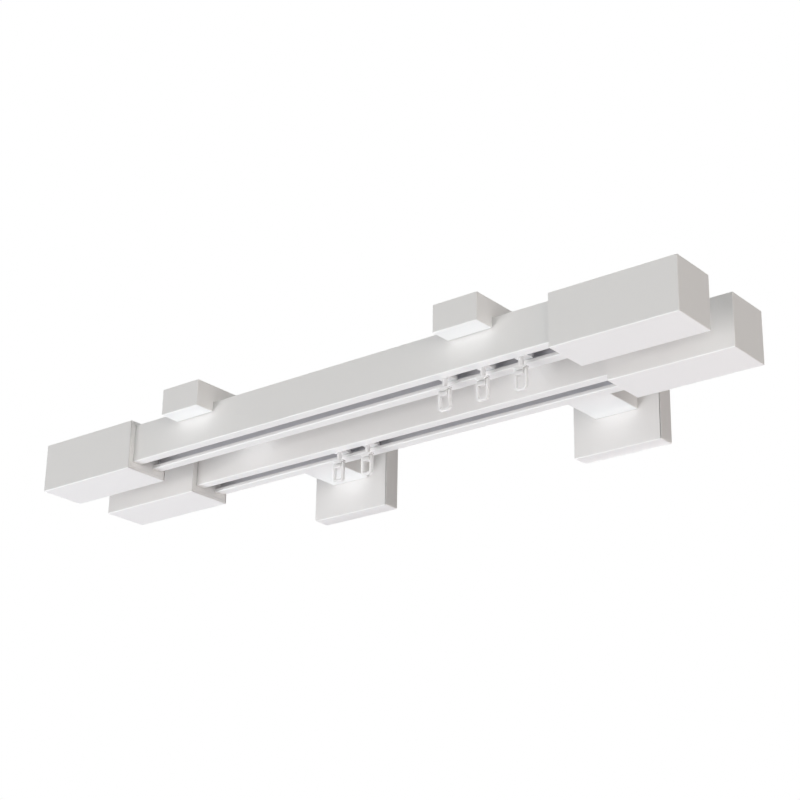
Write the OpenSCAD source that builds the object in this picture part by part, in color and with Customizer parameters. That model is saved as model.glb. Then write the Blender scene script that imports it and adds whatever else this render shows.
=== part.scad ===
// Double curtain rod with two square inner-track rails, box end caps and two wall brackets.
// Millimetres. +X runs along the rods, +Y points into the wall and +Z is up.
// The origin lies on the wall, midway between the two brackets and level with their arms.

/* [Rods] */
// Length of each rail between its two end caps
rail_length = 262; // [250:1:600]
// Outside width and height of a rail
rail_size = 20; // [19:0.5:24]
// Thickness of a rail's sides and top
rail_wall = 1.4; // [1:0.1:1.8]
// Thickness of the two lips that carry the gliders
lip_t = 1.9; // [1.4:0.1:2.2]
// Width of the glider slot in a rail's underside
slot_w = 8; // [7.2:0.1:8.5]
// Clear height of the glider channel
channel_h = 6.9; // [6:0.1:7.5]
// Thickness of the web between the glider channel and the upper chamber
web_t = 1.2; // [1:0.1:1.6]
// Width of the fixing groove in a rail's top
groove_w = 6; // [5:0.1:7]
// Distance between the middles of the front and the rear rail
rail_pitch = 46.5; // [40:0.5:80]
// Distance from the wall to the rear rail's middle
rear_reach = 74.5; // [60:0.5:120]

/* [End caps] */
// Length of an end cap
cap_length = 65; // [45:1:90]
// How far an end cap stands out from its rail on each side
cap_margin = 3.1; // [2.8:0.1:5]
// How far a cap's middle hangs below its rail's middle
cap_drop = 1; // [0:0.1:1.2]
// Wall thickness of an end cap
cap_wall = 1.6; // [1.2:0.1:2]
// Thickness of the plug's flange, which closes the cap's mouth
flange_t = 3; // [2:0.5:5]
// Length of the plug's spigot inside the rail
spigot_length = 24; // [16:1:30]
// Distance from the rail's end to the plug's grub screw
grub_inset = 14; // [8:1:14]

/* [Brackets] */
// Distance from a rail's end to the middle of the bracket nearest to it
bracket_inset = 44.5; // [38:0.5:60]
// Width of a bracket arm
arm_w = 25; // [20:0.5:30]
// Height of a bracket arm
arm_h = 14; // [13:0.5:18]
// How far the arm reaches in front of the front rail
arm_overhang = 12; // [6:1:20]
// How deep a rail nests in the arm's underside
nest_depth = 5.5; // [4:0.1:6]
// Width and height of a wall cover
cover_size = 51; // [50:1:64]
// Depth of a wall cover
cover_t = 9.5; // [8:0.5:14]
// Wall thickness of a wall cover
cover_wall = 1.6; // [1.2:0.1:2]
// Thickness of the steel wall plate under a cover
plate_t = 3; // [2.5:0.1:4]
// Distance between a wall plate's two wall-screw holes
wall_hole_pitch = 32; // [28:1:34]
// Diameter of a wall-screw hole
wall_hole_d = 5.2; // [4.5:0.1:6]

/* [Fixings] */
// Thread diameter of the bracket screws and grub screws
screw_d = 4; // [3.5:0.1:4.4]
// Head diameter of a bracket screw
screw_head_d = 7.6; // [7:0.1:8.4]
// Distance between the two screws that hold an arm to its wall plate
arm_screw_pitch = 13; // [11:0.5:14]
// Depth to which an arm screw enters the arm
arm_screw_grip = 14; // [10:1:20]
// Length of a clamp nut, along the rail
nut_length = 16; // [10:1:20]
// Thickness of a clamp nut
nut_t = 3; // [2:0.5:4]

/* [Gliders] */
// Distances of the front rail's gliders from the rail's right end
front_glider_inset = [66.4, 44.8, 23.8];
// Distances of the rear rail's gliders left of the rail's middle
rear_glider_offset = [38.8, 20.1];
// Span of a glider's head across the channel
head_span = 12.6; // [11:0.1:14]
// Length of a glider's head along the channel
head_length = 7; // [5:0.1:7]
// Thickness of a glider's head
head_t = 2.2; // [1.6:0.1:3]
// Diameter of a glider's neck
neck_d = 2.4; // [2:0.1:3]
// Distance from the rail's underside to the glider's shoulder
neck_drop = 2.5; // [1:0.1:3]
// Thickness of the shoulder plate between a glider's neck and its eye block
shoulder_t = 1; // [0.8:0.05:1]
// Width of a glider's eye block
eye_w = 4.2; // [4.2:0.1:5]
// Height of a glider's eye block
eye_h = 4.2; // [3.8:0.1:5]
// Thickness of a glider's eye block
eye_t = 2.6; // [2.4:0.1:3]
// Diameter of the loop's hinge pin
pin_d = 1.5; // [1.2:0.1:1.6]
// Height of the slit in the eye block's front, through which the pin snaps in
pin_slit = 0.4; // [0.3:0.1:0.6]
// Depth of the hinge pin below the glider's shoulder
pin_drop = 2.2; // [2:0.1:2.4]
// Width of a loop's side leg
leg_w = 1.1; // [0.9:0.1:1.6]
// Thickness of a loop, front to back
loop_t = 1.9; // [1.7:0.1:2.2]
// Distance from the hinge pin to the loop's lower end
loop_reach = 9.3; // [9:0.1:14]
// Height of the loop's bottom bar
loop_bar = 1.3; // [1:0.1:2]
// Outer corner radius of a loop
loop_corner_r = 1.8; // [1.4:0.1:2]

/* [Clearances] */
// Gap between a rail and each side of its nest in an arm
nest_gap = 0.6; // [0.2:0.1:0.8]
// Gap all round between an arm and its wall cover
cover_gap = 0.2; // [0.1:0.1:0.5]
// Gap all round between a plug and the cap or rail that it fills
plug_gap = 0.1; // [0.1:0.05:0.3]
// Gap all round between a wall plate and its cover
plate_gap = 0.3; // [0.1:0.1:0.6]
// Radial gap of a screw in its thread
thread_gap = 0.05; // [0.02:0.01:0.1]
// Radial gap of a screw in a clearance hole
clearance_gap = 0.25; // [0.2:0.05:0.4]
// Running gap of a glider's head above the lips
head_gap = 0.2; // [0.1:0.05:0.4]
// Radial running gap of a loop's pin in its eye
pin_gap = 0.05; // [0.02:0.01:0.1]
// Side gap between a loop's leg and the eye block
leg_gap = 0.15; // [0.1:0.05:0.3]
// Side gap between a clamp nut and the rail's inside
nut_gap = 0.5; // [0.3:0.1:1]

/* [Hidden] */
$fn = 48;

// Overshoot of a cut past the face that it opens
cut = 1;
// Overlap of two shapes that are joined into one
weld = 0.1;
// How far a screw's tip stands past its nut, and a tapped hole past its screw
tip_run = 1;
// How far a grub screw ends below the rail's top wall
grub_sink = 0.6;
left = -1;
right = 1;
// Edge radii of the metal pieces
rail_edge_r = 0.4;
cap_edge_r = 0.5;
arm_edge_r = 0.5;
cover_edge_r = 0.9;

// Levels of a rail's inside, from the rail's middle
lip_top = -rail_size / 2 + lip_t;
chamber_floor = lip_top + channel_h + web_t;
chamber_top = rail_size / 2 - rail_wall;
chamber_h = chamber_top - chamber_floor;
inner_w = rail_size - 2 * rail_wall;

// Places of the rods
rear_y = -rear_reach;
front_y = rear_y - rail_pitch;
bracket_x = rail_length / 2 - bracket_inset;
rail_top = -arm_h / 2 + nest_depth;
rail_z = rail_top - rail_size / 2;
rail_bottom = rail_z - rail_size / 2;

// The caps and their plugs
cap_size = rail_size + 2 * cap_margin;
cap_inner = cap_size - 2 * cap_wall;
flange_w = cap_inner - 2 * plug_gap;
spigot_w = inner_w - 2 * plug_gap;
spigot_h = chamber_h - 2 * plug_gap;
grub_length = chamber_h - grub_sink;
grub_key = screw_d / 2;
screw_key = screw_d * 5 / 8;
socket_depth = screw_d / 2;

// The brackets
arm_front = front_y - rail_size / 2 - arm_overhang;
arm_back = -plate_t;
nest_w = rail_size + 2 * nest_gap;
cover_inner = cover_size - 2 * cover_wall;
plate_size = cover_inner - 2 * plate_gap;
screw_head_h = (screw_head_d - screw_d) / 2;
rail_screw_length = arm_h - nest_depth + rail_wall + nut_t + tip_run;
nut_w = inner_w - 2 * nut_gap;

// The gliders and loops, with their places measured from the rail's middle
front_glider_x = [for (inset = front_glider_inset) rail_length / 2 - inset];
rear_glider_x = [for (offset = rear_glider_offset) -offset];
head_z = rail_z + lip_top + head_gap;
shoulder_z = rail_bottom - neck_drop;
pin_z = shoulder_z - pin_drop;
loop_inner_w = eye_w + 2 * leg_gap;
loop_w = loop_inner_w + 2 * leg_w;
window_corner_r = 0.6;
shoulder_corner_r = 0.7;

metal_white = [0.91, 0.91, 0.9];
plug_white = [0.86, 0.86, 0.85];
steel = [0.68, 0.69, 0.7];
zinc = [0.76, 0.76, 0.74];
milky = [0.9, 0.91, 0.89, 0.9];

// Turns a flat shape, drawn as Y and Z, into a bar that runs along +X from the origin.
module along_x(length) {
    rotate([90, 0, 90]) linear_extrude(length) children();
}

// Turns a flat shape, drawn as X and Z, into a bar that runs along -Y from the origin.
module along_y(length) {
    rotate([90, 0, 0]) linear_extrude(length) children();
}

// A rectangle round the origin with rounded corners.
module rounded_rect(w, h, r) {
    square([w - 2 * r, h], center = true);
    square([w, h - 2 * r], center = true);
    for (x = [-1, 1], y = [-1, 1])
        translate([x * (w / 2 - r), y * (h / 2 - r)]) circle(r);
}

// A rectangle that is centred sideways and stands on the level low.
module level_rect(w, low, h) {
    translate([-w / 2, low]) square([w, h]);
}

// The socket for a hexagon key of width key, cut down from the origin.
module hex_socket(key) {
    translate([0, 0, -socket_depth]) cylinder(socket_depth + cut, r = key / sqrt(3), $fn = 6);
}

// A countersunk screw that points along -Z, with the flat of its head at the origin.
module countersunk_screw(length) {
    difference() {
        union() {
            translate([0, 0, -length]) cylinder(length, d = screw_d - 2 * thread_gap);
            translate([0, 0, -screw_head_h])
                cylinder(screw_head_h, d1 = screw_d - 2 * thread_gap, d2 = screw_head_d);
        }
        hex_socket(screw_key);
    }
}

// The hole that a countersunk screw passes through, from its head's level along -Z.
module countersunk_hole(depth) {
    translate([0, 0, -depth]) cylinder(depth + cut, d = screw_d + 2 * clearance_gap);
    translate([0, 0, -screw_head_h])
        cylinder(screw_head_h, d1 = screw_d + 2 * clearance_gap, d2 = screw_head_d + 2 * clearance_gap);
    cylinder(cut, d = screw_head_d + 2 * clearance_gap);
}

module rail_profile() {
    difference() {
        rounded_rect(rail_size, rail_size, rail_edge_r);
        level_rect(inner_w, lip_top, channel_h);
        level_rect(slot_w, -rail_size / 2 - cut, lip_t + 2 * cut);
        level_rect(inner_w, chamber_floor, chamber_h);
        level_rect(groove_w, chamber_top - cut, rail_wall + 2 * cut);
    }
}

module rail(y) {
    color(metal_white)
        translate([-rail_length / 2, y, rail_z]) along_x(rail_length) rail_profile();
}

// Puts a piece, drawn with the rail's end at the origin and the rail along -X, at a rail's end.
module at_rail_end(side, y) {
    translate([side * rail_length / 2, y, rail_z]) mirror([side < 0 ? 1 : 0, 0, 0]) children();
}

module end_cap(side, y) {
    color(metal_white) at_rail_end(side, y) translate([0, 0, -cap_drop]) difference() {
        along_x(cap_length) rounded_rect(cap_size, cap_size, cap_edge_r);
        translate([-cut, -cap_inner / 2, -cap_inner / 2])
            cube([cap_length - cap_wall + cut, cap_inner, cap_inner]);
    }
}

module end_plug(side, y) {
    color(plug_white) at_rail_end(side, y) difference() {
        union() {
            translate([0, -flange_w / 2, -cap_drop - flange_w / 2]) cube([flange_t, flange_w, flange_w]);
            translate([-spigot_length, -spigot_w / 2, chamber_floor + plug_gap])
                cube([spigot_length + cut, spigot_w, spigot_h]);
        }
        translate([-grub_inset, 0, chamber_floor - cut]) cylinder(chamber_h + 2 * cut, d = screw_d);
    }
}

module plug_grub_screws() {
    color(zinc) for (side = [left, right], y = [front_y, rear_y])
        at_rail_end(side, y) translate([-grub_inset, 0, chamber_floor]) difference() {
            cylinder(grub_length, d = screw_d - 2 * thread_gap);
            translate([0, 0, grub_length]) hex_socket(grub_key);
        }
}

module bracket_arm(side) {
    color(metal_white) translate([side * bracket_x, 0, 0]) difference() {
        translate([0, arm_back, 0]) along_y(arm_back - arm_front) rounded_rect(arm_w, arm_h, arm_edge_r);
        for (y = [front_y, rear_y]) {
            translate([-arm_w / 2 - cut, y - nest_w / 2, -arm_h / 2 - cut])
                cube([arm_w + 2 * cut, nest_w, nest_depth + cut]);
            translate([0, y, arm_h / 2]) countersunk_hole(arm_h);
        }
        for (x = [-1, 1])
            translate([x * arm_screw_pitch / 2, arm_back, 0])
                rotate([90, 0, 0]) translate([0, 0, -cut])
                    cylinder(arm_screw_grip + tip_run + cut, d = screw_d);
    }
}

module wall_plate(side) {
    color(steel) translate([side * bracket_x, 0, 0]) difference() {
        translate([-plate_size / 2, -plate_t, -plate_size / 2]) cube([plate_size, plate_t, plate_size]);
        for (z = [-1, 1])
            translate([0, cut, z * wall_hole_pitch / 2])
                rotate([90, 0, 0]) cylinder(plate_t + 2 * cut, d = wall_hole_d);
        for (x = [-1, 1])
            translate([x * arm_screw_pitch / 2, 0, 0]) rotate([-90, 0, 0]) countersunk_hole(plate_t + cut);
    }
}

module wall_cover(side) {
    color(metal_white) translate([side * bracket_x, 0, 0]) difference() {
        along_y(cover_t) rounded_rect(cover_size, cover_size, cover_edge_r);
        translate([-cover_inner / 2, cover_wall - cover_t, -cover_inner / 2])
            cube([cover_inner, cover_t, cover_inner]);
        translate([0, cut - cover_t + cover_wall, 0]) along_y(cover_wall + 2 * cut)
            square([arm_w + 2 * cover_gap, arm_h + 2 * cover_gap], center = true);
    }
}

module arm_screws() {
    color(zinc) for (side = [left, right], x = [-1, 1])
        translate([side * bracket_x + x * arm_screw_pitch / 2, 0, 0])
            rotate([-90, 0, 0]) countersunk_screw(plate_t + arm_screw_grip);
}

module rail_screws() {
    color(zinc) for (side = [left, right], y = [front_y, rear_y])
        translate([side * bracket_x, y, arm_h / 2]) countersunk_screw(rail_screw_length);
}

module clamp_nuts() {
    color(zinc) for (side = [left, right], y = [front_y, rear_y])
        translate([side * bracket_x, y, rail_z + chamber_top - nut_t]) difference() {
            translate([-nut_length / 2, -nut_w / 2, 0]) cube([nut_length, nut_w, nut_t]);
            translate([0, 0, -cut]) cylinder(nut_t + 2 * cut, d = screw_d);
        }
}

// The shoulder plate's outline, as wide as the loop, with its top at the origin.
module shoulder_outline() {
    intersection() {
        translate([0, -loop_w / 2]) rounded_rect(loop_w, loop_w, shoulder_corner_r);
        level_rect(loop_w, -shoulder_t, shoulder_t);
    }
}

// A glider, with its head in the channel of the rail at y and its eye block below the rail.
module glider(x, y) {
    color(milky) translate([x, y, 0]) {
        difference() {
            union() {
                intersection() {
                    translate([0, 0, head_z]) cylinder(head_t, d = head_span);
                    translate([-head_length / 2, -head_span, head_z])
                        cube([head_length, 2 * head_span, head_t]);
                }
                translate([0, 0, shoulder_z - shoulder_t])
                    cylinder(head_z - shoulder_z + shoulder_t, d = neck_d);
                translate([0, eye_t / 2, 0]) along_y(eye_t) {
                    translate([0, shoulder_z]) shoulder_outline();
                    level_rect(eye_w, shoulder_z - eye_h, eye_h - shoulder_t + weld);
                }
            }
            translate([-eye_w, 0, pin_z]) rotate([0, 90, 0]) cylinder(2 * eye_w, d = pin_d + 2 * pin_gap);
            translate([-eye_w, -eye_t, pin_z - pin_slit / 2]) cube([2 * eye_w, eye_t, pin_slit]);
        }
    }
}

// The outline of a loop below its hinge pin, with the pin's middle at the origin.
module loop_outline() {
    difference() {
        union() {
            level_rect(loop_w, loop_corner_r - loop_reach, loop_reach - loop_corner_r);
            level_rect(loop_w - 2 * loop_corner_r, -loop_reach, loop_corner_r);
            for (x = [-1, 1])
                translate([x * (loop_w / 2 - loop_corner_r), loop_corner_r - loop_reach])
                    circle(loop_corner_r);
        }
        level_rect(loop_inner_w, loop_bar + window_corner_r - loop_reach, loop_reach);
        level_rect(loop_inner_w - 2 * window_corner_r, loop_bar - loop_reach, loop_reach);
        for (x = [-1, 1])
            translate([x * (loop_inner_w / 2 - window_corner_r), loop_bar + window_corner_r - loop_reach])
                circle(window_corner_r);
    }
}

// A loop that swings on its pin in a glider's eye.
module loop(x, y) {
    color(milky) translate([x, y, pin_z]) {
        translate([0, loop_t / 2, 0]) along_y(loop_t) loop_outline();
        for (side = [-1, 1])
            translate([side * (loop_inner_w + leg_w) / 2 - leg_w / 2, 0, 0])
                rotate([0, 90, 0]) cylinder(leg_w, d = loop_t);
        translate([-loop_w / 2 + leg_w / 2, 0, 0]) rotate([0, 90, 0]) cylinder(loop_w - leg_w, d = pin_d);
    }
}

rail(front_y);  // front_rail
rail(rear_y);  // rear_rail
end_cap(left, front_y);  // front_left_cap
end_cap(right, front_y);  // front_right_cap
end_cap(left, rear_y);  // rear_left_cap
end_cap(right, rear_y);  // rear_right_cap
end_plug(left, front_y);  // front_left_plug
end_plug(right, front_y);  // front_right_plug
end_plug(left, rear_y);  // rear_left_plug
end_plug(right, rear_y);  // rear_right_plug
plug_grub_screws();
bracket_arm(left);  // left_arm
bracket_arm(right);  // right_arm
wall_plate(left);  // left_wall_plate
wall_plate(right);  // right_wall_plate
wall_cover(left);  // left_wall_cover
wall_cover(right);  // right_wall_cover
arm_screws();
rail_screws();
clamp_nuts();
glider(front_glider_x[0], front_y);  // front_glider_1
glider(front_glider_x[1], front_y);  // front_glider_2
glider(front_glider_x[2], front_y);  // front_glider_3
glider(rear_glider_x[0], rear_y);  // rear_glider_1
glider(rear_glider_x[1], rear_y);  // rear_glider_2
loop(front_glider_x[0], front_y);  // front_loop_1
loop(front_glider_x[1], front_y);  // front_loop_2
loop(front_glider_x[2], front_y);  // front_loop_3
loop(rear_glider_x[0], rear_y);  // rear_loop_1
loop(rear_glider_x[1], rear_y);  // rear_loop_2
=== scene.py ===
# %% [markdown]
# # A double curtain rod, seen from below
# Two square rails hang under two wall brackets. Each rail is an aluminium extrusion with a slot
# along its underside, in which plastic gliders run, and a box-shaped cap closes each of its ends.
# The construction is already modelled at its real size, so this lesson starts from that frame and
# gives every piece its rounded edges and its finish. All lengths are metres, +X runs along the
# rods, +Y points into the wall and +Z is up.

# %% Load the frame
import math

import bmesh
import bpy
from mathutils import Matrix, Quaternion, Vector


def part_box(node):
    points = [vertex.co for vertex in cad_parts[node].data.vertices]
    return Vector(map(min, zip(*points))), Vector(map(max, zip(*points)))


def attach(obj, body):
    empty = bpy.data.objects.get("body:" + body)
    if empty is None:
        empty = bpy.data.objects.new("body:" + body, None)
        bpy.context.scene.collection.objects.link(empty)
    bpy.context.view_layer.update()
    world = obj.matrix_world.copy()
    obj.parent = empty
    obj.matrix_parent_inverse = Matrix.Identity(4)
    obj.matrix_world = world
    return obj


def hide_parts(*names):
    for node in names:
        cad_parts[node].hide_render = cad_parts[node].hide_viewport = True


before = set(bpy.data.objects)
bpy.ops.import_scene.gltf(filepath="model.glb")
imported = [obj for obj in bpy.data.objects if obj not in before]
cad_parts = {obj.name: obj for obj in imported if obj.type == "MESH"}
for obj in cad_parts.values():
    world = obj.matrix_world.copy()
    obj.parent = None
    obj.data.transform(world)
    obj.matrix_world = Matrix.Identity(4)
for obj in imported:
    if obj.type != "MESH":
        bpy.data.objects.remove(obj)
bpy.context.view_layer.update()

mm = 0.001
print("Pieces in the frame:", len(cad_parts))

# %% [markdown]
# ## The camera
# The rod is seen from below and from the right, with a long lens, so that parallel edges stay
# almost parallel. A camera can be placed by its coordinates, but it is easier to judge by the
# point it looks at, the two angles it looks along and its distance. Its lens and the point come
# from the way in which the straight edges run together in the picture.

# %% Place the camera
aim_point = Vector((12.78, -89.75, -7.82)) * mm
camera_azimuth = math.radians(39.133)
camera_rise = math.radians(21.699)
camera_roll = math.radians(1.034)
camera_distance = 903.9 * mm
camera_lens = 83.009
sensor_width = 36

look = Vector((-math.sin(camera_azimuth) * math.cos(camera_rise),
               math.cos(camera_azimuth) * math.cos(camera_rise),
               math.sin(camera_rise)))
camera_data = bpy.data.cameras.new("camera")
camera_data.sensor_width = sensor_width
camera_data.lens = camera_lens
camera = bpy.data.objects.new("camera", camera_data)
camera.location = aim_point - look * camera_distance
camera.rotation_mode = "QUATERNION"
camera.rotation_quaternion = look.to_track_quat("-Z", "Y") @ Quaternion((0, 0, 1), camera_roll)
bpy.context.scene.collection.objects.link(camera)
bpy.context.scene.camera = camera
bpy.context.scene.view_settings.view_transform = "Standard"
print("Camera at, in mm:", [round(place / mm) for place in camera.location])

# %% [markdown]
# ## A few workshop helpers
# Blender's operators act on whatever is selected. Loading the frame leaves its pieces selected,
# and a new primitive comes selected all over, so each step starts by selecting nothing and then
# picks faces or edges by where they are or which way they face. That is what a click does by hand.

# %% Select and pick
def select_nothing():
    """Goes back to object mode with nothing selected."""
    if bpy.context.mode != "OBJECT":
        bpy.ops.object.mode_set(mode="OBJECT")
    bpy.ops.object.select_all(action="DESELECT")


def select_only(piece):
    """Makes a piece the only selected one, and the active one."""
    select_nothing()
    piece.select_set(True)
    bpy.context.view_layer.objects.active = piece


def pick(piece, kind, test):
    """Opens a piece for editing and selects its faces or edges, FACE or EDGE, that pass a test."""
    select_only(piece)
    bpy.ops.object.mode_set(mode="EDIT")
    bpy.ops.mesh.select_mode(type=kind)
    bpy.ops.mesh.select_all(action="DESELECT")
    shape = bmesh.from_edit_mesh(piece.data)
    chosen = [part for part in (shape.faces if kind == "FACE" else shape.edges) if test(part)]
    for part in chosen:
        part.select_set(True)
    bmesh.update_edit_mesh(piece.data)
    return len(chosen)

# %% Test places and directions
tolerance = 0.01 * mm
straight_on = 0.99


def near(value, target):
    """True if two lengths agree within the tolerance."""
    return abs(value - target) < tolerance


def lies_at(edge, axis, place):
    """True if both ends of an edge lie at a place along an axis."""
    return all(near(getattr(end.co, axis), place) for end in edge.verts)


def runs_along(edge, axis):
    """True if the ends of an edge are more than a millimetre apart along an axis."""
    first, second = (getattr(end.co, axis) for end in edge.verts)
    return abs(first - second) > mm


def middle_of(edge):
    """The point halfway along an edge."""
    return sum((end.co for end in edge.verts), Vector()) / 2


def looks(direction):
    """A test that faces pass if they look in a direction."""
    return lambda face: face.normal.dot(Vector(direction)) > straight_on

# %% Add, name, copy and place
def keep_place(piece):
    """Puts a piece's place, turn and scale into its mesh, so that its object sits at the origin."""
    select_only(piece)
    bpy.ops.object.transform_apply(location=True, rotation=True, scale=True)


def take_new(name):
    """Names the piece that an operator has just added, and settles its place in its mesh."""
    piece = bpy.context.object
    piece.name = piece.data.name = name
    keep_place(piece)
    return piece


def add_block(name, low, high):
    """A box between two corners."""
    low, high = Vector(low), Vector(high)
    select_nothing()
    bpy.ops.mesh.primitive_cube_add(size=1, location=(low + high) / 2, scale=high - low)
    return take_new(name)


def add_rod(name, centre, radius, length, turn=(0, 0, 0), end_radius=None, sides=48):
    """A cylinder, or a cone whose upper end has its own radius, along Z before it is turned."""
    select_nothing()
    bpy.ops.mesh.primitive_cone_add(vertices=sides, radius1=radius, depth=length, location=centre,
                                    radius2=radius if end_radius is None else end_radius,
                                    rotation=turn)
    return take_new(name)


def copy_piece(piece, name, move=(0, 0, 0), half_turn=False):
    """A copy with its own mesh, moved, and first turned half round Z if asked."""
    copy = piece.copy()
    copy.data = piece.data.copy()
    copy.name = copy.data.name = name
    bpy.context.scene.collection.objects.link(copy)
    copy.rotation_euler = (0, 0, math.pi if half_turn else 0)
    copy.location = move
    keep_place(copy)
    return copy

# %% Shape and finish
sharp_angle = math.radians(30)
merge_distance = 0.002 * mm


def round_edges(piece, radius, test, steps=4):
    """Rounds the edges that pass a test and whose two faces meet at a sharp angle."""
    count = pick(piece, "EDGE", lambda edge: len(edge.link_faces) == 2
                 and edge.calc_face_angle() > sharp_angle and test(edge))
    bpy.ops.mesh.bevel(offset=radius, offset_type="OFFSET", segments=steps, affect="EDGES")
    select_nothing()
    return count


def run_modifier(piece, kind, **settings):
    """Adds a modifier with its settings and applies it at once."""
    select_only(piece)
    modifier = piece.modifiers.new(kind.lower(), kind)
    for name, value in settings.items():
        setattr(modifier, name, value)
    bpy.ops.object.modifier_apply(modifier=modifier.name)


def combine(piece, tools, operation):
    """Joins other shapes to a piece, UNION, or cuts them out of it, DIFFERENCE."""
    for tool in tools:
        run_modifier(piece, "BOOLEAN", operation=operation, solver="EXACT", object=tool)
        bpy.data.objects.remove(tool)


def face_outwards(piece):
    """Merges doubled points and turns every face outwards."""
    pick(piece, "FACE", lambda face: False)
    bpy.ops.mesh.select_all(action="SELECT")
    bpy.ops.mesh.remove_doubles(threshold=merge_distance)
    bpy.ops.mesh.normals_make_consistent(inside=False)
    select_nothing()


def shade_rounded(piece):
    """Smooth shading in which flat faces stay flat and only the rounded edges turn."""
    face_outwards(piece)
    select_only(piece)
    bpy.ops.object.shade_smooth()
    run_modifier(piece, "WEIGHTED_NORMAL", weight=100, keep_sharp=False)


def dress(piece, body, material, node):
    """Gives a finished piece its material and the body it moves with, and hides the node it stands
    for.
    """
    piece.data.materials.clear()
    piece.data.materials.append(material)
    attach(piece, body)
    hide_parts(node)
    axes = zip(*(point.co for point in piece.data.vertices))
    print(piece.name, "has", len(piece.data.polygons), "faces and measures, in mm,",
          [round((max(axis) - min(axis)) / mm, 2) for axis in axes])

# %% [markdown]
# ## Finishes
# Nothing on this object is one flat colour. A powder coat melts onto the metal with a fine skin
# like orange peel and pools a little thicker here and there. Moulded plastic carries the matt
# grain of its mould. Zinc shows small crystals. Each effect is built once as a node group, which
# puts out a colour, a roughness and a height, and each material then gives it its own values.
# The patterns read Object coordinates, so they stay on a piece when it moves.

# %% Build node groups
noise_spot = 0.7


def new_effect(name, inputs):
    """An empty node group with the given inputs and the outputs Colour, Roughness and Height."""
    group = bpy.data.node_groups.new(name, "ShaderNodeTree")
    for label, value in inputs.items():
        kind = "NodeSocketColor" if isinstance(value, tuple) else "NodeSocketFloat"
        group.interface.new_socket(label, in_out="INPUT", socket_type=kind).default_value = value
    for label, kind in (("Colour", "NodeSocketColor"), ("Roughness", "NodeSocketFloat"),
                        ("Height", "NodeSocketFloat")):
        group.interface.new_socket(label, in_out="OUTPUT", socket_type=kind)
    return group, group.nodes.new("NodeGroupInput"), group.nodes.new("NodeGroupOutput")


def add_node(tree, kind, settings=None, **feeds):
    """Adds a node, sets its options, and fills its inputs, which are named with _ for a space."""
    node = tree.nodes.new(kind)
    for name, value in (settings or {}).items():
        setattr(node, name, value)
    for name, feed in feeds.items():
        socket = node.inputs[int(name[1:]) if name[1:].isdigit() else name.replace("_", " ")]
        if isinstance(feed, bpy.types.NodeSocket):
            tree.links.new(feed, socket)
        else:
            socket.default_value = feed
    return node


def noise(tree, place, size, detail=2.0):
    """Soft random spots of about the given size in metres, as values round one half."""
    return add_node(tree, "ShaderNodeTexNoise", Vector=place, Scale=noise_spot / size,
                    Detail=detail).outputs["Fac"]


def calc(tree, operation, first, second, third=0.0):
    """One step of arithmetic on two or three values."""
    return add_node(tree, "ShaderNodeMath", {"operation": operation},
                    _0=first, _1=second, _2=third).outputs[0]


def spread(tree, pattern, change):
    """Stretches the middle of a pattern, 0.3 to 0.7, from minus to plus the given change."""
    return add_node(tree, "ShaderNodeMapRange", Value=pattern, From_Min=0.3, From_Max=0.7,
                    To_Min=-change, To_Max=change).outputs["Result"]


def swing(tree, pattern):
    """Shifts a pattern of values round one half, so that it swings round nothing."""
    return calc(tree, "SUBTRACT", pattern, 0.5)


def layer(tree, base, pattern, share):
    """A base, a pattern or a plain number, with a share of a pattern on top."""
    return calc(tree, "MULTIPLY_ADD", pattern, share, base)


def end_effect(tree, given, out, tone, gloss, height):
    """Lets the tone change the given colour and the gloss the given roughness, and ends a group."""
    brightness = calc(tree, "MULTIPLY_ADD", tone, given.outputs["Tone Change"], 1.0)
    colour = add_node(tree, "ShaderNodeVectorMath", {"operation": "SCALE"},
                      _0=given.outputs["Colour"], Scale=brightness).outputs[0]
    roughness = calc(tree, "ADD", given.outputs["Roughness"], gloss)
    for label, result in (("Colour", colour), ("Roughness", roughness), ("Height", height)):
        tree.links.new(result, out.inputs[label])
    print("Effect:", tree.name)
    return tree

# %% The powder coat's skin
def powder_coat_effect():
    """Orange peel, a faint unevenness of tone, and gloss that changes a little over the surface."""
    tree, given, out = new_effect("powder_coat", {
        "Colour": (0.8, 0.8, 0.8, 1), "Roughness": 0.4, "Peel Size": 0.9 * mm, "Tone Change": 0.01})
    place = add_node(tree, "ShaderNodeTexCoord").outputs["Object"]
    per_peel = calc(tree, "DIVIDE", noise_spot, given.outputs["Peel Size"])
    peel = add_node(tree, "ShaderNodeTexNoise", Vector=place, Scale=per_peel, Detail=1.0)
    grain = noise(tree, place, size=0.12 * mm)
    clouds = noise(tree, place, size=45 * mm, detail=3.0)
    smears = noise(tree, place, size=6 * mm, detail=3.0)
    tone = layer(tree, layer(tree, 0.0, swing(tree, grain), share=0.5),
                 swing(tree, clouds), share=2.0)
    gloss = spread(tree, smears, change=0.04)
    height = layer(tree, peel.outputs["Fac"], grain, share=0.12)
    return end_effect(tree, given, out, tone, gloss, height)


powder_coat = powder_coat_effect()

# %% The mould's grain and the plating's crystals
def moulded_effect():
    """The matt grain of a mould, with streaks where the plastic flowed."""
    tree, given, out = new_effect("moulded_plastic", {
        "Colour": (0.8, 0.8, 0.8, 1), "Roughness": 0.4, "Tone Change": 0.02})
    place = add_node(tree, "ShaderNodeTexCoord").outputs["Object"]
    stretched = add_node(tree, "ShaderNodeMapping", Vector=place, Scale=(1, 1, 0.25))
    flow = noise(tree, stretched.outputs["Vector"], size=1.6 * mm, detail=4.0)
    grain = noise(tree, place, size=0.15 * mm)
    gloss = spread(tree, flow, change=0.05)
    height = layer(tree, grain, flow, share=0.3)
    return end_effect(tree, given, out, swing(tree, flow), gloss, height)


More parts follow.
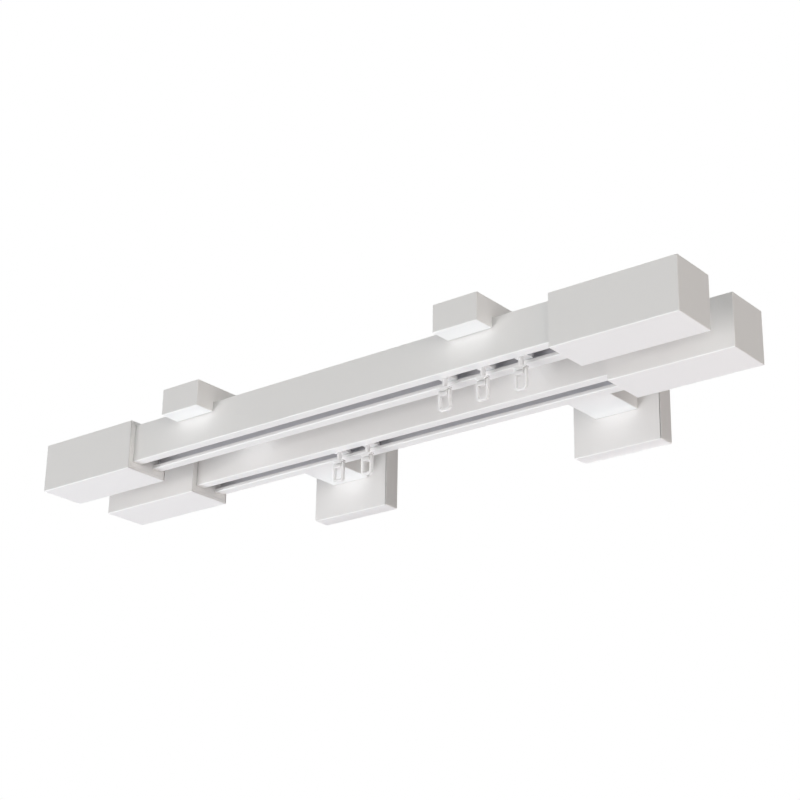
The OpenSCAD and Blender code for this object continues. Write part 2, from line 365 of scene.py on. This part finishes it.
def zinc_effect():
    """Plating: small crystals in slightly different greys, with fine rolling lines."""
    tree, given, out = new_effect("zinc_plating", {
        "Colour": (0.6, 0.6, 0.6, 1), "Roughness": 0.35, "Crystal Size": 1.2 * mm,
        "Tone Change": 0.12})
    place = add_node(tree, "ShaderNodeTexCoord").outputs["Object"]
    per_crystal = calc(tree, "DIVIDE", 1.0, given.outputs["Crystal Size"])
    cells = add_node(tree, "ShaderNodeTexVoronoi", Vector=place, Scale=per_crystal)
    crystal = add_node(tree, "ShaderNodeSeparateColor", Color=cells.outputs["Color"]).outputs[0]
    rolled = add_node(tree, "ShaderNodeMapping", Vector=place, Scale=(0.06, 1, 1))
    lines = noise(tree, rolled.outputs["Vector"], size=0.15 * mm, detail=3.0)
    tone = layer(tree, swing(tree, crystal), swing(tree, lines), share=0.8)
    gloss = layer(tree, 0.0, crystal, share=0.14)
    height = layer(tree, lines, crystal, share=0.2)
    return end_effect(tree, given, out, tone, gloss, height)


moulded = moulded_effect()
zinc = zinc_effect()

# %% The die's lines
def drawn_effect():
    """Fine lines along the rods, as a die leaves them in the aluminium that is pulled through it."""
    tree, given, out = new_effect("drawn_metal", {
        "Colour": (0.6, 0.6, 0.6, 1), "Roughness": 0.5, "Tone Change": 0.06})
    place = add_node(tree, "ShaderNodeTexCoord").outputs["Object"]
    stretched = add_node(tree, "ShaderNodeMapping", Vector=place, Scale=(0.02, 1, 1))
    lines = noise(tree, stretched.outputs["Vector"], size=0.25 * mm, detail=3.0)
    dust = noise(tree, place, size=7 * mm, detail=4.0)
    tone = layer(tree, swing(tree, lines), swing(tree, dust), share=1.0)
    gloss = spread(tree, dust, change=0.06)
    return end_effect(tree, given, out, tone, gloss, lines)


drawn = drawn_effect()

# %% Make the materials
def make_material(name, effect, values, bump_depth, **shader_values):
    """A material whose colour, roughness and bump come from an effect, the rest from the shader."""
    material = bpy.data.materials.new(name)
    material.use_nodes = True
    tree = material.node_tree
    shader = tree.nodes["Principled BSDF"]
    group = add_node(tree, "ShaderNodeGroup", {"node_tree": effect}, **values)
    bump = add_node(tree, "ShaderNodeBump", Height=group.outputs["Height"], Distance=bump_depth)
    tree.links.new(group.outputs["Colour"], shader.inputs["Base Color"])
    tree.links.new(group.outputs["Roughness"], shader.inputs["Roughness"])
    tree.links.new(bump.outputs["Normal"], shader.inputs["Normal"])
    for label, value in shader_values.items():
        shader.inputs[label.replace("_", " ")].default_value = value
    print("Material:", name)
    return material


coat_white = (0.88, 0.877, 0.873, 1)
rail_coat = make_material("rail_powder_coat", powder_coat,
                          {"Colour": coat_white, "Roughness": 0.42}, bump_depth=0.012 * mm)
# The channel's greyer colour stands for a thinner coat and is also painted shade that darkens the
# inside of the slot.
channel_coat_and_painted_shade = make_material("channel_thin_coat_and_painted_shade", drawn,
                             {"Colour": (0.7, 0.7, 0.725, 1), "Roughness": 0.5},
                             bump_depth=0.006 * mm)
cap_coat = make_material("cap_powder_coat", powder_coat,
                         {"Colour": coat_white, "Roughness": 0.45, "Peel_Size": 1.1 * mm},
                         bump_depth=0.014 * mm)
bracket_coat = make_material("bracket_powder_coat", powder_coat,
                             {"Colour": coat_white, "Roughness": 0.45, "Peel_Size": 1.0 * mm},
                             bump_depth=0.014 * mm)
plug_plastic = make_material("plug_plastic", moulded,
                             {"Colour": (0.88, 0.878, 0.872, 1), "Roughness": 0.5},
                             bump_depth=0.008 * mm)
milky_plastic = make_material("milky_plastic", moulded,
                              {"Colour": (0.87, 0.865, 0.865, 1), "Roughness": 0.5},
                              bump_depth=0.003 * mm, Subsurface_Weight=1.0,
                              Subsurface_Radius=(1, 1, 1), Subsurface_Scale=3 * mm, IOR=1.4)
zinc_plating = make_material("zinc_plated_fixings", zinc,
                             {"Colour": (0.66, 0.67, 0.66, 1), "Roughness": 0.28,
                              "Crystal_Size": 0.5 * mm}, bump_depth=0.006 * mm, Metallic=1.0)
plate_plating = make_material("zinc_plated_sheet", zinc,
                              {"Colour": (0.58, 0.6, 0.61, 1), "Roughness": 0.34,
                               "Crystal_Size": 2.2 * mm}, bump_depth=0.01 * mm, Metallic=1.0)

# %% [markdown]
# ## The rails
# A rail is pulled through a die, so one section runs from end to end: a square tube with a slot
# below for the gliders, a web above their channel, and a groove on top for the clamp nuts. It
# could be a cube with grooves cut in, but drawing the section flat and pulling it out is how the
# real one is made, and it keeps all walls the same thickness. The flat sheet is cut along each
# wall's line, the hollow cells are deleted, and what is left is extruded. The channel's walls get
# a second, greyer material. It stands for a thinner coat, since powder does not fly far into a
# narrow slot, and it is also painted shade that darkens the inside of the slot.

# %% Draw a section and pull it out
one_plane = math.radians(1)


def add_section(name, low, high):
    """A flat sheet across the rods, from one corner to the other, at the lower corner's X."""
    select_nothing()
    bpy.ops.mesh.primitive_plane_add(size=1, rotation=(0, -math.pi / 2, 0),
                                     location=(low.x, (low.y + high.y) / 2, (low.z + high.z) / 2))
    bpy.context.object.scale = (high.z - low.z, high.y - low.y, 1)
    return take_new(name)


def cut_lines(piece, across, levels):
    """Cuts a flat section along lines at the given Y places and Z levels."""
    pick(piece, "FACE", lambda face: False)
    for places, direction in ((across, Vector((0, 1, 0))), (levels, Vector((0, 0, 1)))):
        for place in places:
            bpy.ops.mesh.select_all(action="SELECT")
            bpy.ops.mesh.bisect(plane_co=direction * place, plane_no=direction)
    select_nothing()


def remove_cells(piece, spaces):
    """Deletes the cells whose middle lies in a space, given as its lowest and highest Y and Z."""
    def in_a_space(face):
        middle = face.calc_center_median()
        return any(y0 < middle.y < y1 and z0 < middle.z < z1 for y0, y1, z0, z1 in spaces)
    pick(piece, "FACE", in_a_space)
    bpy.ops.mesh.delete(type="FACE")
    select_nothing()


def pull_out(piece, length):
    """Joins the cells into one face and extrudes it along the rods."""
    pick(piece, "FACE", lambda face: True)
    bpy.ops.mesh.dissolve_limited(angle_limit=one_plane)
    bpy.ops.mesh.select_all(action="SELECT")
    bpy.ops.mesh.extrude_region_move(TRANSFORM_OT_translate={"value": (length, 0, 0)})
    face_outwards(piece)

# %% Name the front rail's sizes
rail_wall = 1.4 * mm
lip_thickness = 1.9 * mm
slot_width = 8 * mm
channel_height = 6.9 * mm
web_thickness = 1.2 * mm
groove_width = 6 * mm
rail_corner = 0.4 * mm
slot_corner = 0.6 * mm
inner_corner = 0.15 * mm

front_low, front_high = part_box("front_rail")
front_y = (front_low.y + front_high.y) / 2
inner_y = (front_low.y + rail_wall, front_high.y - rail_wall)
slot_y = (front_y - slot_width / 2, front_y + slot_width / 2)
groove_y = (front_y - groove_width / 2, front_y + groove_width / 2)
lip_top = front_low.z + lip_thickness
web_bottom = lip_top + channel_height
web_top = web_bottom + web_thickness
roof_bottom = front_high.z - rail_wall
print("Channel's width and height in mm:", round((inner_y[1] - inner_y[0]) / mm, 2),
      round(channel_height / mm, 2))

# %% Model the front rail
front_rail = add_section("front_rail_body", front_low, front_high)
cut_lines(front_rail, (*inner_y, *slot_y, *groove_y), (lip_top, web_bottom, web_top, roof_bottom))
remove_cells(front_rail, ((*inner_y, lip_top, web_bottom), (*slot_y, front_low.z, lip_top),
                          (*inner_y, web_top, roof_bottom), (*groove_y, roof_bottom, front_high.z)))
pull_out(front_rail, front_high.x - front_low.x)


def on_outer_corner(edge):
    """True on the rail's four long outer corners and on the upright edges of its ends."""
    return all(near(abs(end.co.y - front_y), front_high.y - front_y)
               and (near(end.co.z, front_low.z) or near(end.co.z, front_high.z))
               for end in edge.verts)


def on_slot_mouth(edge):
    """True on the two lower edges of the slot."""
    return lies_at(edge, "z", front_low.z) and all(
        near(abs(end.co.y - front_y), slot_width / 2) for end in edge.verts)


print("Outer corners rounded:", round_edges(front_rail, rail_corner, on_outer_corner))
print("Slot's lower edges rounded:", round_edges(front_rail, slot_corner, on_slot_mouth, steps=6))
print("Inner edges rounded:", round_edges(front_rail, inner_corner, lambda edge: True, steps=2))
shade_rounded(front_rail)

# %% Copy it to the rear and line the channels
end_slope = 0.5


def line_channel(rail, middle_y):
    """Gives the walls of a rail's channel the second, greyer material, darker as painted shade, but
    not the slot's sides or the ends.
    """
    rail.data.materials.append(channel_coat_and_painted_shade)
    lined = [face for face in rail.data.polygons if abs(face.normal.x) < end_slope
             and abs(face.center.y - middle_y) < inner_y[1] - front_y + tolerance
             and lip_top - tolerance < face.center.z < web_bottom + tolerance]
    for face in lined:
        face.material_index = 1
    print(rail.name, "has", len(lined), "faces in its channel")


rear_low, rear_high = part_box("rear_rail")
rear_rail = copy_piece(front_rail, "rear_rail_body", rear_low - front_low)
dress(front_rail, "root", rail_coat, "front_rail")
dress(rear_rail, "root", rail_coat, "rear_rail")
line_channel(front_rail, front_y)
line_channel(rear_rail, (rear_low.y + rear_high.y) / 2)

# %% [markdown]
# ## The end caps
# Each cap is a short box, open towards the rail and closed by its outer end. The mouth of a cube
# is inset by the wall's thickness and pushed inwards, and only then are the edges rounded: an
# inset that is wider than a rounded corner's radius would turn that corner inside out. One cap
# is modelled and copied to all four places, and the left copies are turned half round.

# %% Model one cap
cap_wall = 1.6 * mm
cap_corner = 0.5 * mm
mouth_edge = 0.08 * mm

cap_low, cap_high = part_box("front_right_cap")
cap = add_block("cap", cap_low, cap_high)
pick(cap, "FACE", looks((-1, 0, 0)))
bpy.ops.mesh.inset(thickness=cap_wall)
cap_depth = cap_high.x - cap_low.x - cap_wall
bpy.ops.mesh.extrude_region_move(TRANSFORM_OT_translate={"value": (cap_depth, 0, 0)})


def on_outside(edge, low, high, sides="yz"):
    """True if an edge lies on the outer faces of a box, along the given sides of it."""
    middle = middle_of(edge)
    return any(near(getattr(middle, side), getattr(corner, side))
               for side in sides for corner in (low, high))


print("Mouth's inner edges rounded:", round_edges(
    cap, mouth_edge, lambda edge: lies_at(edge, "x", cap_low.x)
    and not on_outside(edge, cap_low, cap_high), steps=2))
print("Outer edges rounded:", round_edges(
    cap, cap_corner, lambda edge: on_outside(edge, cap_low, cap_high)
    and not lies_at(edge, "x", cap_low.x)))
shade_rounded(cap)

# %% Place all four caps
cap_middle = (cap_low + cap_high) / 2
for name in ("front_right_cap", "rear_right_cap", "front_left_cap", "rear_left_cap"):
    place = sum(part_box(name), Vector()) / 2
    turned = "left" in name
    start = Vector((-cap_middle.x, -cap_middle.y, cap_middle.z)) if turned else cap_middle
    each = copy_piece(cap, name + "_shell", place - start, half_turn=turned)
    dress(each, "root", cap_coat, name)
bpy.data.objects.remove(cap)

# %% [markdown]
# ## The plugs
# A moulded plug fills each cap's mouth, with a square flange that lies flush and a spigot that
# goes up into the rail. Its shape is right in the frame already, so it only needs its finish.
# The grub screws that hold it are dressed the same way.

# %% Dress the plugs and the hidden fixings
def dress_node(name, material):
    """Gives a piece of the frame its material, without touching its mesh."""
    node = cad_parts[name]
    node.data.materials.clear()
    node.data.materials.append(material)
    print(name, "gets", material.name)


for row in ("front", "rear"):
    for side in ("left", "right"):
        dress_node(f"{row}_{side}_plug", plug_plastic)
for name in ("plug_grub_screws", "clamp_nuts"):
    dress_node(name, zinc_plating)

# %% [markdown]
# ## The bracket arms
# An arm is a solid bar that carries both rails. Each rail sits in a nest in its underside and is
# held by a countersunk screw from above. The side view holds everything that matters, so the arm
# is drawn as a flat section with its two nests and pulled out to its width. The screw holes are
# then cut with the shape of the step drill that makes them: a cone whose small end is extruded,
# so that hole and countersink come from one tool and leave no seam.

# %% Model the right arm's bar
nest_depth = 5.5 * mm
nest_gap = 0.6 * mm
arm_corner = 0.5 * mm
nest_corner = 0.3 * mm

arm_low, arm_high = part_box("right_arm")
rails = ((front_low, front_high), (rear_low, rear_high))
nests = [(low.y - nest_gap, high.y + nest_gap) for low, high in rails]
nest_roof = arm_low.z + nest_depth
arm = add_section("right_arm_bar", arm_low, arm_high)
cut_lines(arm, [side for nest in nests for side in nest], (nest_roof,))
remove_cells(arm, [(*nest, arm_low.z, nest_roof) for nest in nests])
pull_out(arm, arm_high.x - arm_low.x)


def in_a_nest(edge):
    """True on the edges that a nest cuts into the bar."""
    middle = middle_of(edge)
    return middle.z < nest_roof + tolerance and any(
        y0 - tolerance < middle.y < y1 + tolerance for y0, y1 in nests)


print("Bar's edges rounded:",
      round_edges(arm, arm_corner, lambda edge: not in_a_nest(edge)))
print("Nests' edges rounded:", round_edges(arm, nest_corner, in_a_nest, steps=3))

# %% Make a step drill
screw_diameter = 4 * mm
head_diameter = 7.6 * mm
clearance = 0.25 * mm
overshoot = 1 * mm

head_height = (head_diameter - screw_diameter) / 2
hole_radius = screw_diameter / 2 + clearance


def add_step_drill(mouth, depth, turn=(0, 0, 0)):
    """A drill with a cone for a screw's head, from just outside its mouth down to a depth."""
    drill = add_rod("step_drill", (0, 0, (overshoot - head_height) / 2), hole_radius,
                    head_height + overshoot,
                    end_radius=head_diameter / 2 + clearance + overshoot)
    pick(drill, "FACE", looks((0, 0, -1)))
    bpy.ops.mesh.extrude_region_move(
        TRANSFORM_OT_translate={"value": (0, 0, head_height - depth)})
    select_nothing()
    drill.location, drill.rotation_euler = mouth, turn
    keep_place(drill)
    return drill

# %% Drill the arm
fixing_pitch = 13 * mm
fixing_depth = 15 * mm
from_the_wall = (math.pi / 2, 0, 0)

arm_x = (arm_low.x + arm_high.x) / 2
rail_middles = [(low.y + high.y) / 2 for low, high in rails]
fixing_sides = (-fixing_pitch / 2, fixing_pitch / 2)
drills = [add_step_drill((arm_x, y, arm_high.z), arm_high.z - arm_low.z + overshoot)
          for y in rail_middles]
drills += [add_rod("tap", (arm_x + side, arm_high.y - (fixing_depth - overshoot) / 2, 0),
                   screw_diameter / 2, fixing_depth + overshoot, from_the_wall)
           for side in fixing_sides]
combine(arm, drills, "DIFFERENCE")
shade_rounded(arm)
print("Holes are", round(hole_radius * 2 / mm, 2), "mm wide and lie at Y, in mm,",
      [round(y / mm, 2) for y in rail_middles])

# %% Copy the arm to the left
between_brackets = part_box("left_arm")[0] - arm_low
left_arm = copy_piece(arm, "left_arm_bar", between_brackets)
dress(arm, "root", bracket_coat, "right_arm")
dress(left_arm, "root", bracket_coat, "left_arm")

# %% [markdown]
# ## The wall covers
# A square cover hides each bracket's wall plate and its screws. It is a shallow shell, open
# towards the wall, with a hole in its front through which the arm passes. The back of a cube is
# inset and pushed in, the arm's hole is cut out, and the edges are rounded last. The four long
# corners get a larger radius than the edges of the front, as on the real piece.

# %% Model the right cover
cover_wall = 1.6 * mm
cover_corner = 0.9 * mm
cover_front_edge = 0.35 * mm
arm_gap = 0.08 * mm

cover_low, cover_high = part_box("right_wall_cover")
cover = add_block("right_wall_cover_shell", cover_low, cover_high)
pick(cover, "FACE", looks((0, 1, 0)))
bpy.ops.mesh.inset(thickness=cover_wall)
cover_depth = cover_high.y - cover_low.y - cover_wall
bpy.ops.mesh.extrude_region_move(TRANSFORM_OT_translate={"value": (0, -cover_depth, 0)})
select_nothing()
hole = add_block("hole", (arm_low.x - arm_gap, cover_low.y - overshoot, arm_low.z - arm_gap),
                 (arm_high.x + arm_gap, cover_low.y + cover_wall + overshoot,
                  arm_high.z + arm_gap))
combine(cover, [hole], "DIFFERENCE")
print("The shell's walls are", round(cover_wall / mm, 2), "mm thick")

# %% Round its edges and copy it
def at_the_hole(edge):
    """True on edges beside the arm or inside the hole for it."""
    point = edge.verts[0].co
    return (arm_low.x - mm < point.x < arm_high.x + mm
            and arm_low.z - mm < point.z < arm_high.z + mm)


print("Hole's edges rounded:", round_edges(
    cover, mouth_edge, lambda edge: lies_at(edge, "y", cover_low.y)
    and not on_outside(edge, cover_low, cover_high, "xz"), steps=2))
print("Long corners rounded:", round_edges(
    cover, cover_corner, lambda edge: runs_along(edge, "y")
    and on_outside(edge, cover_low, cover_high, "xz"), steps=6))
print("Front edges rounded:", round_edges(
    cover, cover_front_edge, lambda edge: lies_at(edge, "y", cover_low.y)
    and not at_the_hole(edge)))
shade_rounded(cover)
left_cover = copy_piece(cover, "left_wall_cover_shell", between_brackets)
dress(cover, "root", bracket_coat, "right_wall_cover")
dress(left_cover, "root", bracket_coat, "left_wall_cover")

# %% [markdown]
# ## The wall plates
# Under each cover a steel plate is screwed to the wall, and two countersunk screws from behind
# hold the arm to it. It shows only from behind, where its edges and holes catch the light. It is
# a flat cube with rounded edges, drilled in four places.

# %% Model the right plate
wall_hole_diameter = 5.2 * mm
wall_hole_pitch = 32 * mm
plate_corner = 0.3 * mm

plate_low, plate_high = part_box("right_wall_plate")
plate = add_block("right_wall_plate_sheet", plate_low, plate_high)
round_edges(plate, plate_corner, lambda edge: True, steps=3)
plate_y = (plate_low.y + plate_high.y) / 2
plate_thickness = plate_high.y - plate_low.y
to_the_wall = (-math.pi / 2, 0, 0)
drills = [add_rod("wall_drill", (arm_x, plate_y, z), wall_hole_diameter / 2,
                  plate_thickness + 2 * overshoot, to_the_wall)
          for z in (-wall_hole_pitch / 2, wall_hole_pitch / 2)]
drills += [add_step_drill((arm_x + side, plate_high.y, 0), plate_thickness + overshoot,
                          to_the_wall) for side in fixing_sides]
combine(plate, drills, "DIFFERENCE")
shade_rounded(plate)
left_plate = copy_piece(plate, "left_wall_plate_sheet", between_brackets)
dress(plate, "root", plate_plating, "right_wall_plate")
dress(left_plate, "root", plate_plating, "left_wall_plate")

# %% [markdown]
# ## The countersunk screws
# Eight screws of one kind hold the arms and the rails. Their heads lie flush in the arms' tops
# and in the plates' backs, where the hexagon socket and the small rim round the cone can be
# seen. One screw is modelled upright, head up, and copied to each place with its own length.

# %% Model a screw
thread_gap = 0.05 * mm
key_width = 2.5 * mm
socket_depth = 2 * mm
screw_edge = 0.12 * mm


def model_screw(name, length):
    """A screw along -Z with the flat of its head at the origin."""
    shank_radius = screw_diameter / 2 - thread_gap
    screw = add_rod(name, (0, 0, -head_height / 2), shank_radius, head_height,
                    end_radius=head_diameter / 2)
    pick(screw, "FACE", looks((0, 0, -1)))
    bpy.ops.mesh.extrude_region_move(
        TRANSFORM_OT_translate={"value": (0, 0, head_height - length)})
    socket = add_rod("socket", (0, 0, (overshoot - socket_depth) / 2), key_width / math.sqrt(3),
                     socket_depth + overshoot, sides=6)
    round_edges(screw, screw_edge, lambda edge: lies_at(edge, "z", middle_of(edge).z), steps=2)
    combine(screw, [socket], "DIFFERENCE")
    print(name, "is", round(length / mm, 2), "mm long")
    return screw


rail_screw = model_screw("rail_screw", arm_high.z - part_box("rail_screws")[0].z)
arm_screw = model_screw("arm_screw", -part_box("arm_screws")[0].y)
arm_screw.rotation_euler = to_the_wall
keep_place(arm_screw)

# %% Place the screws
def join_pieces(pieces, name):
    """Makes several pieces one object."""
    select_nothing()
    for piece in pieces:
        piece.select_set(True)
    bpy.context.view_layer.objects.active = pieces[0]
    bpy.ops.object.join()
    pieces[0].name = pieces[0].data.name = name
    return pieces[0]


bracket_places = (arm_x, arm_x + between_brackets.x)
rail_screws = join_pieces([copy_piece(rail_screw, "screw", (x, y, arm_high.z))
                           for x in bracket_places for y in rail_middles], "rail_screw_set")
arm_screws = join_pieces([copy_piece(arm_screw, "screw", (x + side, 0, 0))
                          for x in bracket_places for side in fixing_sides], "arm_screw_set")
for spare in (rail_screw, arm_screw):
    bpy.data.objects.remove(spare)
for screws, node in ((rail_screws, "rail_screws"), (arm_screws, "arm_screws")):
    shade_rounded(screws)
    dress(screws, "root", zinc_plating, node)

# %% [markdown]
# ## The gliders
# A glider is moulded in one go: a flat head that rides on the two lips, a thin neck through the
# slot, and below the rail a shoulder plate with a small eye block under it. A slit in the block's
# front lets the loop's pin snap into its hole. Such a part has no sharp edges. It is put together
# from the simple shapes that a mould maker would mill, and a fine voxel remesh with a little
# smoothing then melts them into one skin with soft fillets.

# %% Name a glider's sizes
head_thickness = 2.2 * mm
head_sides = 96
neck_diameter = 2.4 * mm
shoulder_thickness = 1 * mm
shoulder_corner = 0.7 * mm
eye_width = 4.2 * mm
eye_height = 4.2 * mm
eye_thickness = 2.6 * mm
pin_diameter = 1.5 * mm
pin_gap = 0.05 * mm
pin_slit = 0.4 * mm
pin_drop = 2.2 * mm

glider_low, glider_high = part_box("front_glider_1")
loop_low, loop_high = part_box("front_loop_1")
glider_x = (glider_low.x + glider_high.x) / 2
eye_y = (front_y - eye_thickness / 2, front_y + eye_thickness / 2)
shoulder = glider_low.z + eye_height
shoulder_bottom = shoulder - shoulder_thickness
pin_z = shoulder - pin_drop
head_bottom = glider_high.z - head_thickness
print("Pin's height and shoulder's height in mm:", round(pin_z / mm, 2), round(shoulder / mm, 2))

# %% Melt shapes together
def melt_together(piece, voxel, rounds):
    """Turns joined shapes into one skin and softens its edges."""
    run_modifier(piece, "REMESH", mode="VOXEL", voxel_size=voxel)
    run_modifier(piece, "SMOOTH", factor=0.5, iterations=rounds)
    select_only(piece)
    bpy.ops.object.shade_smooth()


def runs_back(edge, level):
    """True on an edge that runs from front to back on the given level."""
    return runs_along(edge, "y") and lies_at(edge, "z", level)

# %% Model one glider
glider_voxel = 0.12 * mm
along_x = (0, math.pi / 2, 0)

glider = add_rod("glider", (glider_x, front_y, glider_high.z - head_thickness / 2),
                 (glider_high.y - glider_low.y) / 2, head_thickness, sides=head_sides)
pick(glider, "FACE", lambda face: True)
for side, place in ((-1, glider_low.x), (1, glider_high.x)):
    bpy.ops.mesh.select_all(action="SELECT")
    bpy.ops.mesh.bisect(plane_co=(place, 0, 0), plane_no=(side, 0, 0), use_fill=True,
                        clear_outer=True)
select_nothing()
neck = add_rod("neck", (glider_x, front_y, (head_bottom + shoulder) / 2), neck_diameter / 2,
               head_bottom - shoulder + overshoot)
shoulder_plate = add_block("shoulder_plate", (loop_low.x, eye_y[0], shoulder_bottom),
                           (loop_high.x, eye_y[1], shoulder))
round_edges(shoulder_plate, shoulder_corner, lambda edge: runs_back(edge, shoulder), steps=6)
eye = add_block("eye", (glider_x - eye_width / 2, eye_y[0], glider_low.z),
                (glider_x + eye_width / 2, eye_y[1], shoulder - shoulder_thickness / 2))
combine(glider, [neck, shoulder_plate, eye], "UNION")
pin_hole = add_rod("pin_hole", (glider_x, front_y, pin_z), pin_diameter / 2 + pin_gap,
                   eye_width + overshoot, turn=along_x)
slit = add_block("slit", (loop_low.x, eye_y[0] - overshoot, pin_z - pin_slit / 2),
                 (loop_high.x, front_y, pin_z + pin_slit / 2))
combine(glider, [pin_hole, slit], "DIFFERENCE")
melt_together(glider, glider_voxel, rounds=4)
print("Faces of a glider:", len(glider.data.polygons))

# %% [markdown]
# ## The loops
# A loop hangs from its glider's eye on a thin pin and swings to the front and the back. It is a
# narrow frame with round lower corners: a block whose corners are bevelled, with a window cut
# through it, two round ears at the top of its legs and the pin between them. The remesh can
# swell a shape by a hair, so the block stops that much short of the frame's box.

# %% Model one loop
leg_width = 1.1 * mm
loop_bar = 1.3 * mm
loop_corner = 1.8 * mm
window_corner = 0.6 * mm
window_rise = 3 * mm
loop_voxel = 0.1 * mm
swelling = 0.005 * mm

window_low = Vector((loop_low.x + leg_width, loop_low.y - overshoot, loop_low.z + loop_bar))
window_high = Vector((loop_high.x - leg_width, loop_high.y + overshoot, pin_z + window_rise))

loop = add_block("loop", loop_low + Vector((0, 0, swelling)), (loop_high.x, loop_high.y, pin_z))
round_edges(loop, loop_corner, lambda edge: runs_back(edge, loop_low.z), steps=8)
window = add_block("window", window_low, window_high)
round_edges(window, window_corner, lambda edge: runs_back(edge, window_low.z), steps=6)
combine(loop, [window], "DIFFERENCE")
ears = [add_rod("ear", (x, front_y, pin_z), (loop_high.y - loop_low.y) / 2, leg_width,
                turn=along_x) for x in (loop_low.x + leg_width / 2, loop_high.x - leg_width / 2)]
pin = add_rod("pin", (glider_x, front_y, pin_z), pin_diameter / 2,
              loop_high.x - loop_low.x - leg_width, turn=along_x)
combine(loop, [*ears, pin], "UNION")
melt_together(loop, loop_voxel, rounds=3)
print("Faces of a loop:", len(loop.data.polygons))

# %% Place every glider with its loop
for row, count in (("front", 3), ("rear", 2)):
    for number in range(1, count + 1):
        for kind, model, start in (("glider", glider, glider_low), ("loop", loop, loop_low)):
            name = f"{row}_{kind}_{number}"
            each = copy_piece(model, name + "_moulding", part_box(name)[0] - start)
            dress(each, name, milky_plastic, name)
for spare in (glider, loop):
    bpy.data.objects.remove(spare)

# %% [markdown]
# ## Floor, world and lamps
# The rod hangs high, so its pale floor lies far below and only shows when one looks down on it.
# White paint needs soft light, with every side at its own level, or its edges vanish against a
# white background. So the world and the floor are white for the camera alone. The world is dimmer
# in reflections, or they would wash out a side seen at a flat angle, and it hardly lights
# anything. Six wide lamps below the rods and level with them do that, and two small near ones
# reach the tops and the backs. The bright patches on the covers and on the rails under each arm
# have no lamp of their own: they are light that the arms' undersides throw back.

# %% Lay the floor
floor_level = -2.2
floor_size = 80
floor_glow = 1.0
floor_colour = (0.7, 0.7, 0.69, 1)
floor_roughness = 0.9
white = (1, 1, 1, 1)

select_nothing()
bpy.ops.mesh.primitive_plane_add(size=floor_size, location=(0, 0, floor_level))
floor = take_new("floor")
floor_paint = bpy.data.materials.new("floor_paint")
floor_paint.use_nodes = True
paint = floor_paint.node_tree
paint_shader = paint.nodes["Principled BSDF"]
paint_shader.inputs["Base Color"].default_value = floor_colour
paint_shader.inputs["Roughness"].default_value = floor_roughness
paint_shader.inputs["Emission Color"].default_value = white
floor_seen = add_node(paint, "ShaderNodeLightPath").outputs["Is Camera Ray"]
paint.links.new(calc(paint, "MULTIPLY", floor_seen, floor_glow),
                paint_shader.inputs["Emission Strength"])
floor.data.materials.append(floor_paint)
print("The floor lies", -floor_level, "m below the rods' wall fixing")

# %% Light the world
world_light = 0.05
mirrored_light = 0.6

world = bpy.data.worlds.new("studio")
bpy.context.scene.world = world
world.use_nodes = True
sky = world.node_tree
sky.nodes.clear()
path = add_node(sky, "ShaderNodeLightPath")
mirrored = calc(sky, "MULTIPLY_ADD", path.outputs["Is Glossy Ray"],
                mirrored_light - world_light, world_light)
strength = calc(sky, "MAXIMUM", path.outputs["Is Camera Ray"], mirrored)
background = add_node(sky, "ShaderNodeBackground", Color=white, Strength=strength)
add_node(sky, "ShaderNodeOutputWorld", Surface=background.outputs["Background"])
print("World's light and its light in reflections:", world_light, mirrored_light)

# %% Hang the lamps
low_size = (1.6, 1.4)
level_size = (2.0, 1.8)


def add_lamp(name, place, size, power, colour=(1, 1, 1)):
    """A soft lamp, in metres and watts, that faces the rods' middle and is not seen itself."""
    select_nothing()
    bpy.ops.object.light_add(type="AREA", location=place)
    lamp = bpy.context.object
    lamp.name = lamp.data.name = name
    lamp.data.shape = "RECTANGLE"
    lamp.data.size, lamp.data.size_y = size
    lamp.data.energy = power
    lamp.data.color = colour
    lamp.rotation_mode = "QUATERNION"
    lamp.rotation_quaternion = (aim_point - Vector(place)).to_track_quat("-Z", "Y")
    lamp.visible_camera = False
    print(name, "gives", power, "W")


add_lamp("lamp_low_left", (-1.4, -0.3, -1.8), low_size, 26, (0.85, 0.92, 1))
add_lamp("lamp_low_right", (1.4, -0.3, -1.8), low_size, 6, (0.95, 0.98, 1))
add_lamp("lamp_low_behind", (0.0, 1.5, -1.5), low_size, 11, (1, 0.8, 0.78))
add_lamp("lamp_front", (-1.8, -2.6, -1.6), level_size, 66, (1, 0.975, 0.965))
add_lamp("lamp_front_right", (2.2, -2.4, -0.3), level_size, 24, (0.95, 1, 0.97))
add_lamp("lamp_right", (2.9, -0.9, -0.2), level_size, 26, (1, 0.88, 0.82))
add_lamp("lamp_above", (-0.3, 0.0, 1.3), (0.5, 0.4), 8.5)
add_lamp("lamp_behind", (-0.6, 1.5, 0.15), (0.6, 0.4), 8.5)
